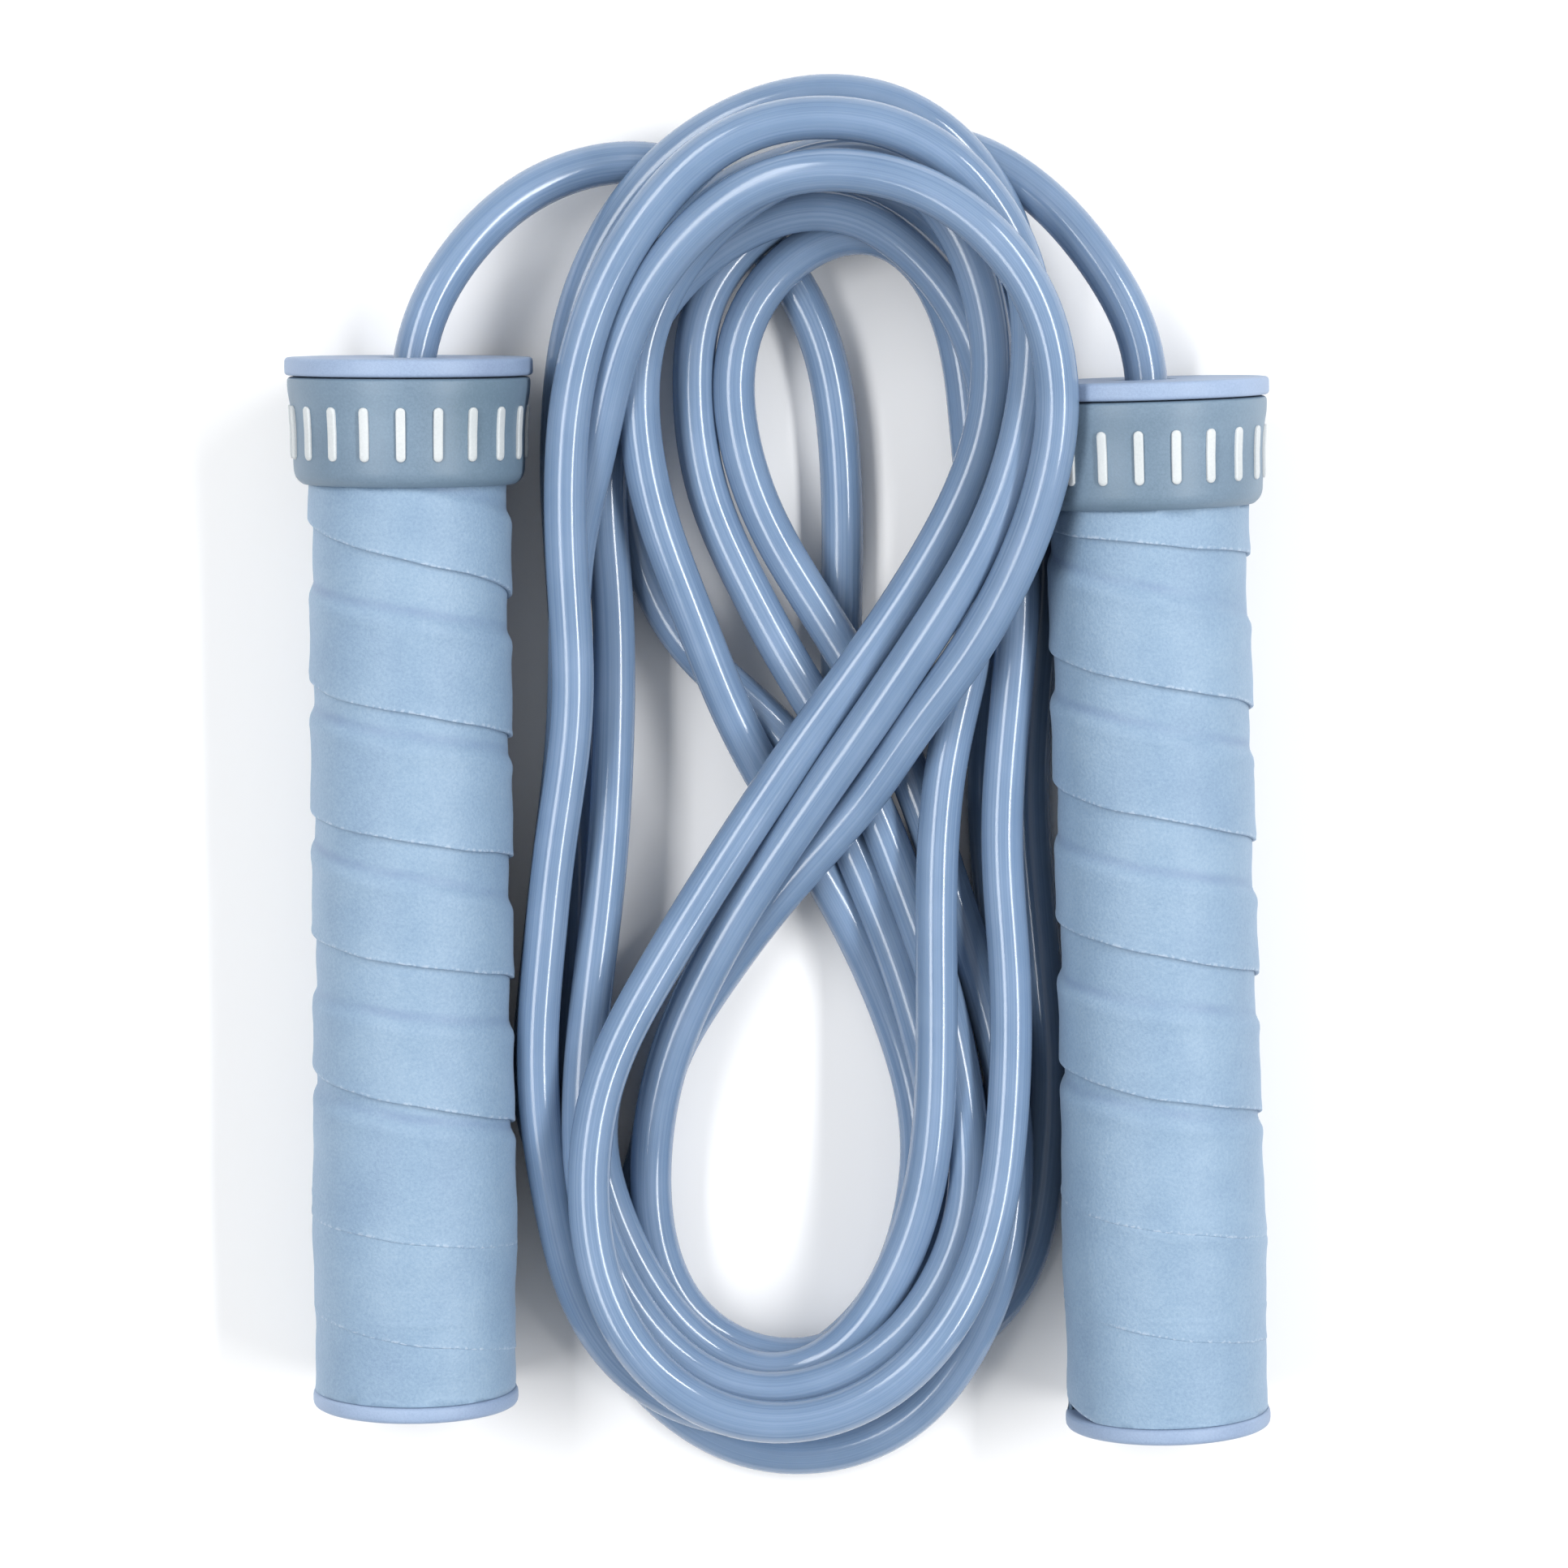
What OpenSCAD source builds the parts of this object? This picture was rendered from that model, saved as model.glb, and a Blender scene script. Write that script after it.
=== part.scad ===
// Jump rope with two tape-wrapped handles, lying flat with its rope folded into one hank.
// Millimetres, +Z up. Y runs along the handles, towards the ends that the rope leaves.
// The origin is under the middle of the two handles, on the surface that they lie on.

/* [Rope] */
// Diameter of the round rope
rope_d = 5.2; // [4.8:0.1:5.2]
// Height of the folded hank above the surface
hank_h = 22; // [20:1:24]

/* [Handle] */
// Length of a handle, from the end cap's face to the flange's face
handle_l = 129.5; // [125:0.5:135]
// Outer radius of the hollow core tube
core_r = 11.3; // [11.1:0.1:11.5]
// Wall of the hollow core tube
core_wall = 2; // [1.6:0.1:2.4]
// Thickness of the grip tape's windings
tape_t = 1.1; // [1:0.1:1.2]
// Radius of the end cap
end_cap_r = 12.7; // [12.5:0.1:13]
// Thickness of the end cap's rim
end_cap_t = 2.1; // [1.8:0.1:2.6]

/* [Rope end of a handle] */
// Radius of the flange that the rope comes out of
flange_r = 15.1; // [15:0.1:15.3]
// Thickness of the flange
flange_t = 2.2; // [2:0.1:2.6]
// Length of the silicone band under the flange
band_l = 13.3; // [13:0.1:13.8]
// Height of the raised marks on the band
mark_t = 0.35; // [0.3:0.05:0.5]

/* [Hidden] */

round_fn = 64;
rope_r = rope_d / 2;

// Lengths along a handle, counted from the end cap's face.
flange_z = handle_l - flange_t;
neck_t = 0.5;
band_top_z = flange_z - neck_t;
band_z = band_top_z - band_l;
plug_l = 10;
cap_wall = 1.8;
cap_face_z = band_top_z - cap_wall;

// Radii of a handle.
bore_r = core_r - core_wall;
tape_r = core_r + tape_t;
neck_r = 14.1;
band_lip_r = 14.8;
band_waist_r = 14.2;
band_foot_r = 13.2;
fit_gap = 0.1;
hole_r = rope_r + fit_gap;
mark_root_r = band_waist_r - 0.3;
mark_face_r = band_waist_r + 0.2 + mark_t;
mark_z0 = band_z + 3.7;
mark_z1 = band_z + 10;
mark_count = 20;
mark_turn = 5;

// The rope's end: it leaves the flange straight, and a crimped stopper holds a washer inside.
rope_out = 1.5;
washer_r = 6.5;
washer_t = 1;
washer_play = 0.2;
washer_z = cap_face_z - washer_play - washer_t;
stopper_r = 5;
stopper_l = 8;
stopper_z = washer_z - washer_play - stopper_l;
rope_tail = 2;

// A handle lies on its flange and on its end cap, so its axis rises towards the flange.
tilt = atan((flange_r - end_cap_r) / flange_z);
left_base = [-45.45, -63.4];
left_yaw = 0;
right_base = [48, -66.05];
right_yaw = 1.7;

function handle_base(base) = [base.x, base.y, end_cap_r * cos(tilt)];
function handle_dir(yaw) = [-sin(yaw) * cos(tilt), cos(yaw) * cos(tilt), sin(tilt)];
function on_axis(base, yaw, z) = handle_base(base) + z * handle_dir(yaw);

// Route of the free rope between each handle and the hank, after the straight end.
left_route = [[-44.4, 70.0, 15.0], [-42.5, 73.2, 14.2], [-39.8, 77.4, 12.8],
              [-36.2, 82.0, 10.6], [-32.2, 85.5, 8.4], [-27.8, 88.0, 6.4],
              [-23.5, 89.3, 4.8], [-18.9, 90.0, 3.6], [-14.9, 89.9, 3.0]];
right_route = [[43.9, 67.4, 15.1], [42.6, 70.8, 14.4], [40.5, 74.4, 12.9],
               [37.0, 79.9, 10.4], [32.4, 85.1, 7.4], [27.9, 88.4, 5.0],
               [24.2, 90.5, 3.6]];
tube_sides = 12;

// The hank: an upper and a lower half ellipse around the loops' two ends.
hank_x = 2.1;
upper_y = 55.3;
upper_half = [33, 45.5];
lower_x = 1.1;
lower_y = -23.7;
lower_half = [33, 47.6];
hank_step = 6;
handle_gap = 0.5;
// The loops pass over the right handle's band here, so the hank is higher.
shoulder_x = [18.5, 35.5];
shoulder_y = [44, 76];
shoulder_h = 30.4;
shoulder_corner = 6;

// ---------- shared shapes ----------

// Puts a handle's own frame, with +Z along its axis, in its place.
module place_handle(base, yaw) {
  translate(handle_base(base)) rotate([tilt - 90, 0, yaw]) children();
}

module tube(r_out, r_in, z0, z1) {
  translate([0, 0, z0]) difference() {
    cylinder(r = r_out, h = z1 - z0, $fn = round_fn);
    translate([0, 0, -1]) cylinder(r = r_in, h = z1 - z0 + 2, $fn = round_fn);
  }
}

// Direction of a route at point i, from the points beside it.
function route_dir(p, i) =
  let (d = p[min(i + 1, len(p) - 1)] - p[max(i - 1, 0)]) d / norm(d);

// One ring of the rope's surface around point c, square to direction d.
function ring(c, d, r) =
  let (side = cross(d, [0, 0, 1]) / norm(cross(d, [0, 0, 1])), up = cross(side, d))
  [for (k = [0 : tube_sides - 1])
    c + r * (cos(k * 360 / tube_sides) * side + sin(k * 360 / tube_sides) * up)];

// Sweeps the rope's round section along the points; start is the direction of the first ring.
module rope_tube(p, start) {
  n = len(p);
  m = tube_sides;
  points = [for (i = [0 : n - 1]) each ring(p[i], i == 0 ? start : route_dir(p, i), rope_r)];
  walls = [for (i = [0 : n - 2], k = [0 : m - 1])
    let (a = i * m + k, b = i * m + (k + 1) % m) each [[a, b, b + m], [a, b + m, a + m]]];
  first = [for (k = [m - 1 : -1 : 0]) k];
  last = [for (k = [0 : m - 1]) (n - 1) * m + k];
  polyhedron(points, concat(walls, [first, last]));
}

// ---------- rope ----------

module hank_outline() {
  polygon([for (a = [0 : hank_step : 180])
             [hank_x + upper_half.x * cos(a), upper_y + upper_half.y * sin(a)],
           for (a = [180 : hank_step : 360])
             [lower_x + lower_half.x * cos(a), lower_y + lower_half.y * sin(a)]]);
}

// Room that the hank leaves around a handle.
module handle_clearance(base, yaw) {
  place_handle(base, yaw) translate([0, 0, -1])
    cylinder(r = flange_r + handle_gap, h = handle_l + 3, $fn = round_fn);
}

module shoulder_outline() {
  c = shoulder_corner;
  polygon([[shoulder_x[0] + c, shoulder_y[0]], [shoulder_x[1] - c, shoulder_y[0]],
           [shoulder_x[1], shoulder_y[0] + c], [shoulder_x[1], shoulder_y[1] - 2 * c],
           [shoulder_x[1] - c, shoulder_y[1]], [shoulder_x[0] + c, shoulder_y[1]],
           [shoulder_x[0], shoulder_y[1] - c], [shoulder_x[0], shoulder_y[0] + c]]);
}

module rope_hank() {
  color("cornflowerblue") difference() {
    union() {
      linear_extrude(hank_h) hank_outline();
      linear_extrude(shoulder_h) shoulder_outline();
    }
    handle_clearance(left_base, left_yaw);
    handle_clearance(right_base, right_yaw);
  }
}

module rope_lead(base, yaw, route) {
  start = on_axis(base, yaw, handle_l + rope_out);
  color("cornflowerblue") rope_tube(concat([start], route), handle_dir(yaw));
}

module rope_end(base, yaw) {
  z0 = stopper_z - rope_tail;
  color("cornflowerblue") place_handle(base, yaw) translate([0, 0, z0])
    cylinder(r = rope_r, h = handle_l + rope_out - z0, $fn = round_fn);
}

module rope_stopper(base, yaw) {
  color("silver") place_handle(base, yaw)
    tube(stopper_r, rope_r, stopper_z, stopper_z + stopper_l);
}

module washer(base, yaw) {
  color("whitesmoke") place_handle(base, yaw)
    tube(washer_r, rope_r, washer_z, washer_z + washer_t);
}

// ---------- handle ----------

module core_tube(base, yaw) {
  color("lightsteelblue") place_handle(base, yaw)
    tube(core_r, bore_r, end_cap_t, band_top_z);
}

// Flange, neck and a cup-shaped plug in the core's mouth, with the hole that the rope turns in.
module rope_cap(base, yaw) {
  color("lightsteelblue") place_handle(base, yaw) rotate_extrude($fn = round_fn)
    polygon([[hole_r, cap_face_z], [bore_r - cap_wall, cap_face_z],
             [bore_r - cap_wall, band_top_z - plug_l], [bore_r, band_top_z - plug_l],
             [bore_r, band_top_z], [neck_r, band_top_z], [neck_r, flange_z],
             [flange_r - 0.3, flange_z], [flange_r, flange_z + 0.3],
             [flange_r, handle_l - 0.3], [flange_r - 0.3, handle_l], [hole_r, handle_l]]);
}

// The band flares to a lip under the flange and steps in to a thin foot over the tape.
module silicone_band(base, yaw) {
  color("slategray") place_handle(base, yaw) rotate_extrude($fn = round_fn)
    polygon([[core_r, band_z], [band_foot_r, band_z], [band_foot_r, band_z + 0.5],
             [band_waist_r - 0.5, band_z + 0.6], [band_waist_r - 0.15, band_z + 1.2],
             [band_waist_r, band_z + 5], [band_waist_r + 0.2, band_z + 9],
             [band_lip_r - 0.1, band_top_z - 1.6], [band_lip_r, band_top_z - 0.8],
             [band_lip_r - 0.4, band_top_z], [core_r, band_top_z]]);
}

// Plain raised bars moulded into the band all the way round, with no lettering.
module band_marks(base, yaw) {
  color("whitesmoke") place_handle(base, yaw)
    for (k = [0 : mark_count - 1])
      rotate([0, 0, k * 360 / mark_count]) rotate_extrude(angle = mark_turn, $fn = round_fn)
        polygon([[mark_root_r, mark_z0], [mark_face_r, mark_z0],
                 [mark_face_r, mark_z1], [mark_root_r, mark_z1]]);
}

module grip_tape(base, yaw) {
  color("lightskyblue") place_handle(base, yaw) tube(tape_r, core_r, end_cap_t, band_z);
}

// Disc with a rounded rim and a hollow plug pressed into the core.
module end_cap(base, yaw) {
  color("lightsteelblue") place_handle(base, yaw) rotate_extrude($fn = round_fn)
    polygon([[0, 0], [end_cap_r - 0.4, 0], [end_cap_r, 0.4], [end_cap_r, end_cap_t - 0.3],
             [end_cap_r - 0.3, end_cap_t], [bore_r, end_cap_t], [bore_r, end_cap_t + plug_l],
             [bore_r - cap_wall, end_cap_t + plug_l], [bore_r - cap_wall, end_cap_t],
             [0, end_cap_t]]);
}

rope_hank();
rope_lead(left_base, left_yaw, left_route);  // rope_lead_left
rope_end(left_base, left_yaw);  // rope_end_left
rope_stopper(left_base, left_yaw);  // rope_stopper_left
washer(left_base, left_yaw);  // washer_left
rope_lead(right_base, right_yaw, right_route);  // rope_lead_right
rope_end(right_base, right_yaw);  // rope_end_right
rope_stopper(right_base, right_yaw);  // rope_stopper_right
washer(right_base, right_yaw);  // washer_right
core_tube(left_base, left_yaw);  // core_tube_left
rope_cap(left_base, left_yaw);  // rope_cap_left
silicone_band(left_base, left_yaw);  // silicone_band_left
band_marks(left_base, left_yaw);  // band_marks_left
grip_tape(left_base, left_yaw);  // grip_tape_left
end_cap(left_base, left_yaw);  // end_cap_left
core_tube(right_base, right_yaw);  // core_tube_right
rope_cap(right_base, right_yaw);  // rope_cap_right
silicone_band(right_base, right_yaw);  // silicone_band_right
band_marks(right_base, right_yaw);  // band_marks_right
grip_tape(right_base, right_yaw);  // grip_tape_right
end_cap(right_base, right_yaw);  // end_cap_right
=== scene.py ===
"""Jump rope with two tape-wrapped handles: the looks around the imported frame, in metres.

The rope is one tube along one route, laid as a hank of eight loops between the handles.
Each handle is a set of turned skins around its own axis, with a strip of tape wound on it.
"""

import math

import bmesh
import bpy
import numpy as np
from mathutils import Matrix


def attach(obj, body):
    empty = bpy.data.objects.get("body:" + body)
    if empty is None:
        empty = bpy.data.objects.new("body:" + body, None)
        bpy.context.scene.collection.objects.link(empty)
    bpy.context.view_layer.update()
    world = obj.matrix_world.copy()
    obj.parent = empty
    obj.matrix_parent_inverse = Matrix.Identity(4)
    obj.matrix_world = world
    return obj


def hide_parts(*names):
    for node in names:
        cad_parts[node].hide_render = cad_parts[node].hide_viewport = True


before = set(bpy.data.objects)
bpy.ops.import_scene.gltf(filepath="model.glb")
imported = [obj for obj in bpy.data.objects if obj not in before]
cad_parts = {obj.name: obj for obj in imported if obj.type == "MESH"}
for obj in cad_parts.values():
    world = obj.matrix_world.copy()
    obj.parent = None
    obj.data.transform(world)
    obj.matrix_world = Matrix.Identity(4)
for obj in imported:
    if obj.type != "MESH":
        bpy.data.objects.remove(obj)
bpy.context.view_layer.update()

MM = 0.001

# ---------- sizes, in millimetres ----------

ROPE_D = 5.2
HANDLE_L = 129.5
CORE_R = 11.3
CORE_BORE = 9.3
END_CAP_R = 12.7
END_CAP_T = 2.1
FLANGE_R = 15.1
FLANGE_T = 2.2
NECK_T = 0.5
BAND_GAP = 0.15
BAND_L = 13.05
CORD_HOLE_R = 3.7
PLUG_R = 7.5
ROPE_TAIL_AT = 113.6
ROPE_OUT = 1.5
FLANGE_AT = HANDLE_L - FLANGE_T
CORE_TOP = FLANGE_AT - NECK_T
BAND_TOP = FLANGE_AT - BAND_GAP
BAND_FOOT = BAND_TOP - BAND_L
TILT = math.atan((FLANGE_R - END_CAP_R) / FLANGE_AT)

SIDES = {
    "left": {"base": (-45.45, -63.4), "yaw": 0.0},
    "right": {"base": (48.0, -66.05), "yaw": math.radians(1.7)},
}


def handle_axes(side):
    """The handle's end point and its three directions: across, up, and along towards the rope."""
    x, y = SIDES[side]["base"]
    yaw = SIDES[side]["yaw"]
    across = np.array([math.cos(yaw), math.sin(yaw), 0.0])
    along = np.array([-math.sin(yaw) * math.cos(TILT), math.cos(yaw) * math.cos(TILT),
                      math.sin(TILT)])
    base = np.array([x, y, END_CAP_R * math.cos(TILT)])
    return base, across, np.cross(across, along), along


def on_axis(side, distance):
    """The point of a handle's axis at a distance from its end cap's face."""
    base, _, _, along = handle_axes(side)
    return base + distance * along


# ---------- meshes ----------

MERGE = 1e-7        # metres
TURNED_SIDES = 128


def skin(name, grid, wrap_rows=False, uv=None):
    """A mesh over a grid of points, rows by columns, in millimetres.

    Each square of four neighbouring points is a face. The columns join round, and wrapped rows
    do too. Points that fall together, as at a pole, are merged, which closes the skin there.
    uv is a pair of values for each point of rows that don't wrap, kept as the layer "surface".
    """
    rows, columns = grid.shape[:2]
    index = np.arange(rows * columns).reshape(rows, columns)
    down = np.roll(index, -1, axis=0)
    right = np.roll(index, -1, axis=1)
    both = np.roll(down, -1, axis=1)
    last = rows if wrap_rows else rows - 1
    faces = np.stack([c[:last] for c in (index, down, both, right)], axis=-1).reshape(-1, 4)
    mesh = bpy.data.meshes.new(name)
    mesh.from_pydata((grid.reshape(-1, 3) * MM).tolist(), [], faces.tolist())
    if uv is not None:
        lines = np.concatenate([uv, uv[:, -1:] + (uv[:, 1:2] - uv[:, :1])], axis=1)
        corners = [lines[:-1, :-1], lines[1:, :-1], lines[1:, 1:], lines[:-1, 1:]]
        layer = mesh.uv_layers.new(name="surface")
        layer.data.foreach_set("uv", np.stack(corners, axis=2).reshape(-1).astype(np.float32))
    work = bmesh.new()
    work.from_mesh(mesh)
    bmesh.ops.remove_doubles(work, verts=work.verts, dist=MERGE)
    work.to_mesh(mesh)
    work.free()
    mesh.shade_smooth()
    piece = bpy.data.objects.new(name, mesh)
    bpy.context.collection.objects.link(piece)
    return piece


def turned(side, profile):
    """Points of a profile turned around a handle's axis.

    The profile is rows of (distance along the axis, radius); each row goes round as
    base + distance * along + radius * (cos * across + sin * up).
    """
    base, across, up, along = handle_axes(side)
    profile = np.asarray(profile, float)
    angle = 2 * math.pi * np.arange(TURNED_SIDES) / TURNED_SIDES
    ring = np.cos(angle)[:, None] * across + np.sin(angle)[:, None] * up
    return base + profile[:, None, 0, None] * along + profile[:, None, 1, None] * ring[None]


def rounded(points, radius, steps=5):
    """A profile with its corners rounded: each inner corner becomes a short quadratic arc."""
    points = np.asarray(points, float)
    corner = points[1:-1]
    before = points[:-2] - corner
    after = points[2:] - corner
    before_length = np.linalg.norm(before, axis=1)[:, None]
    after_length = np.linalg.norm(after, axis=1)[:, None]
    reach = np.minimum(radius, 0.45 * np.minimum(before_length, after_length))
    first = (corner + before / before_length * reach)[:, None]
    last = (corner + after / after_length * reach)[:, None]
    t = np.linspace(0, 1, steps)[None, :, None]
    arcs = (1 - t) ** 2 * first + 2 * t * (1 - t) * corner[:, None] + t ** 2 * last
    return np.concatenate([points[:1], arcs.reshape(-1, 2), points[-1:]])


# ---------- the rope's route ----------

SEEN, UNDER = 0.0, 1.0
# Millimetres, from the left handle's flange to the right one's. UNDER marks what other
# strands cover, which may shift sideways as the hank settles.
# The route was first picked point by point. A separate program then turned the points of the
# leads and of the hank into millimetres, and it brought the hank's to rest, thinned them and
# rounded them to half a millimetre. The numbers below are that program's, not typed by hand.
LEFT_LEAD = [(-42.5, 73.2, 14.2), (-39.8, 77.4, 12.8), (-36.2, 82.0, 10.6), (-32.2, 85.5, 8.4),
             (-27.8, 88.0, 6.4), (-23.5, 89.3, 4.8), (-18.9, 90.0, 3.6), (-14.9, 89.9, 3.0)]
RIGHT_LEAD = [(42.6, 70.8, 14.4), (40.5, 74.4, 12.9), (37.0, 79.9, 10.4), (32.4, 85.1, 7.4),
              (27.9, 88.4, 5.0), (24.2, 90.5, 3.6)]
# The hank's points are counted from its own middle, which lies here.
HANK_AT = np.array([-0.5, 0.3, 0.0])
HANK = [
    (SEEN, [
        (-9.5, 88, 3.5), (-5.5, 84, 2.5), (2.5, 74, 2.5), (6.5, 63, 2.5), (8, 45.5, 2.5),
        (7.5, 26.5, 2.5)]),
    (UNDER, [
        (5.5, 17.5, 2.5), (-3, 4.5, 3), (-8, -1, 3.5), (-12, -6.5, 4.5), (-16, -12.5, 5)]),
    (SEEN, [
        (-23, -30, 8.5), (-22, -34.5, 9), (-21, -38.5, 10), (-17, -47.5, 11), (-11, -55.5, 12),
        (-6, -59, 12), (-1, -60.5, 12.5),
        (7.5, -57.5, 12.5), (10, -54.5, 13), (15, -46, 13.5), (18.5, -34, 14.5),
        (19.5, -20, 15), (19.5, 0, 14.5), (21, 18, 12.5)]),
    (UNDER, [
        (24.5, 31, 10.5), (27, 46, 9), (25.5, 64, 7.5), (21, 74.5, 7), (15, 80.5, 7)]),
    (SEEN, [
        (11.5, 81.5, 7), (3.5, 79, 7.5), (-2.5, 73, 7.5), (-5.5, 63.5, 7.5), (-1, 44.5, 7.5),
        (5, 35, 7.5), (8, 29.5, 7.5)]),
    (UNDER, [
        (14.5, 19, 7.5)]),
    (SEEN, [
        (18.5, 8.5, 8), (23, -5, 8), (29, -28, 8.5), (29, -37, 8.5), (29, -41, 8),
        (26, -52.5, 7.5), (19, -64.5, 6.5), (11.5, -70, 5.5), (2.5, -72, 4.5), (-5, -71, 3.5),
        (-14.5, -65, 3)]),
    (UNDER, [
        (-23.5, -50.5, 2.5), (-22.5, -41, 2.5), (-18.5, -30, 3.5)]),
    (SEEN, [
        (-3.5, -5.5, 7.5), (4.5, 4.5, 11.5), (13, 15, 15), (16, 20.5, 17.5), (19.5, 25, 19),
        (23, 29.5, 21), (26, 35.5, 22.5), (28.5, 40, 24.5), (33, 55, 28), (33, 64.5, 29),
        (29.5, 75.5, 29), (27, 78, 29), (21.5, 83.5, 29), (13.5, 87, 28), (4, 88, 26.5),
        (-1, 87, 25), (-9.5, 81.5, 23), (-13, 77.5, 22), (-15.5, 74.5, 20.5), (-19, 67, 19),
        (-21.5, 57.5, 16.5), (-22.5, 52, 15.5), (-25, 44, 13)]),
    (UNDER, [
        (-25, 38, 12), (-25.5, 31, 10.5), (-26, 16.5, 8), (-27, 9.5, 7), (-28, 1.5, 6.5),
        (-29, -6, 5.5), (-29.5, -13, 5.5), (-29.5, -20, 5), (-29.5, -27.5, 5.5),
        (-28.5, -33.5, 5.5), (-27.5, -39.5, 6), (-23, -50, 7), (-16.5, -58.5, 7.5),
        (-8.5, -65, 8), (1.5, -68, 8), (12.5, -64.5, 7.5), (22.5, -53.5, 6), (27, -44, 5),
        (28.5, -31.5, 3.5), (28.5, -1, 2.5), (28, 7, 3), (29, 23.5, 4), (30, 38.5, 5.5),
        (32, 55, 7.5), (31.5, 66, 9), (30, 76, 10.5)]),
    (SEEN, [
        (26, 86, 11.5), (16, 95.5, 11.5), (6.5, 97.5, 11.5), (-1, 96.5, 10.5), (-8.5, 93, 9.5),
        (-17, 86, 8.5), (-25, 70.5, 6.5), (-26.5, 60, 5.5), (-27, 49.5, 4)]),
    (UNDER, [
        (-26, 37.5, 3.5), (-26, 29.5, 3), (-25.5, 23.5, 3), (-25.5, 9, 2.5), (-25, -7, 2.5),
        (-25, -23.5, 2.5), (-25, -32, 2.5), (-19.5, -50.5, 2.5), (-12, -61, 2.5),
        (-3, -65.5, 2.5), (0.5, -63, 2.5)]),
    (SEEN, [
        (10, -56, 2.5), (15, -48.5, 2.5), (18, -34, 2.5), (16.5, -23.5, 2.5), (10, -6.5, 4),
        (-1, 13, 8), (-8, 27.5, 10.5), (-10, 33.5, 11), (-14.5, 45, 12.5), (-17, 60.5, 14),
        (-16, 69, 15)]),
    (UNDER, [
        (-12, 76.5, 15.5), (-4.5, 84, 16), (8.5, 90.5, 16.5), (16, 88.5, 17), (21.5, 82, 17)]),
    (SEEN, [
        (26, 64, 17.5), (20.5, 45, 16.5), (8, 25.5, 16), (0.5, 15, 15.5), (-3, 9.5, 16),
        (-6.5, 4.5, 16), (-9, 0, 16), (-12.5, -5, 16.5), (-15, -10, 17), (-20.5, -20, 17.5),
        (-23, -39.5, 19.5), (-20.5, -50, 20.5), (-18.5, -54, 20.5), (-15.5, -57.5, 21),
        (-11, -61.5, 21), (-6, -63.5, 21.5), (1, -64.5, 21), (11.5, -61.5, 21),
        (19.5, -54.5, 19.5), (25, -44.5, 18.5), (27.5, -34.5, 17.5), (28, -29.5, 16.5),
        (28.5, -23, 16), (28.5, -8, 14), (27.5, 7, 13), (28.5, 21.5, 12.5), (29, 28.5, 12)]),
    (UNDER, [
        (30, 36, 12), (30, 48, 12), (29, 54, 12.5), (28, 60, 12.5)]),
    (SEEN, [
        (20.5, 74, 12.5), (14, 80.5, 12), (4, 84, 11.5), (-12, 75.5, 10.5), (-16.5, 69, 10),
        (-21, 55.5, 9), (-20.5, 38, 8.5), (-20.5, 15.5, 8.5), (-21.5, 0.5, 9.5)]),
    (UNDER, [
        (-23.5, -16.5, 11.5)]),
    (SEEN, [
        (-23, -40, 14.5), (-18, -50.5, 15.5), (-15, -55, 16.5), (-10, -59, 16.5), (0, -62, 17),
        (4.5, -60.5, 17), (8, -59.5, 17), (14, -56, 16), (20, -48, 15), (23.5, -39, 13.5),
        (23.5, -34.5, 13), (23.5, -29, 12), (22.5, -23.5, 11.5), (20, -11.5, 10),
        (14, 4.5, 8.5)]),
    (UNDER, [
        (12, 10.5, 8.5)]),
    (SEEN, [
        (0.5, 29.5, 7), (-4.5, 39.5, 7), (-9, 50, 6.5), (-9.5, 71.5, 6.5)]),
    (UNDER, [
        (-5.5, 79.5, 6.5), (2.5, 85.5, 5.5)]),
    (SEEN, [
        (11.5, 85.5, 5), (16, 84.5, 4.5), (22, 77.5, 4)]),
    (UNDER, [
        (25, 67, 3), (26.5, 61, 3), (27.5, 54.5, 2.5), (30, 50.5, 2.5)]),
    (SEEN, [
        (33, 43.5, 2.5), (32.5, 32.5, 2.5), (31.5, 5, 2.5), (32.5, -2, 2.5), (33, -11.5, 2.5),
        (34, -18.5, 2.5), (32.5, -42.5, 2.5), (28.5, -52.5, 2.5)]),
    (UNDER, [
        (17, -63.5, 2.5), (7.5, -66.5, 3), (-4, -66, 4), (-13.5, -61.5, 5.5), (-17, -59, 5.5),
        (-22, -51.5, 7)]),
    (SEEN, [
        (-28.5, -34.5, 9), (-29.5, -13.5, 11.5), (-28.5, -6, 12), (-28, 1.5, 13),
        (-25, 24, 15.5), (-25.5, 36, 17.5), (-25.5, 41, 18), (-26, 46, 18.5),
        (-25.5, 51, 19.5), (-25.5, 57, 20), (-20.5, 75, 22), (-14.5, 84, 23),
        (-10.5, 88.5, 23), (-1.5, 93.5, 23.5), (14, 93, 24.5), (22.5, 87.5, 24.5),
        (28.5, 79, 24.5), (30.5, 70.5, 24.5), (27.5, 50, 23.5), (17, 30.5, 20),
        (10.5, 20.5, 17.5), (7, 15.5, 17), (0, 5, 14), (-6.5, -5.5, 12.5), (-9, -10.5, 11),
        (-11.5, -15.5, 10.5), (-15, -27, 8.5), (-14.5, -47, 7), (-8, -56.5, 7), (-3, -58.5, 7),
        (1.5, -59.5, 7.5),
        (10.5, -56.5, 7.5), (16.5, -49.5, 7.5), (20, -39.5, 7.5), (20, -28, 7.5),
        (17, -15.5, 7), (13.5, -5, 6.5)]),
    (UNDER, [
        (1, 17, 5.5)]),
    (SEEN, [
        (-7, 25.5, 4.5), (-16, 38.5, 4), (-19, 60, 4.5), (-17.5, 69.5, 5.5), (-11, 82, 6.5),
        (-2.5, 88, 7), (6.5, 90, 6.5), (11, 91.5, 6.5), (16.5, 92, 6.5), (22.5, 91, 7)]),
]


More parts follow.
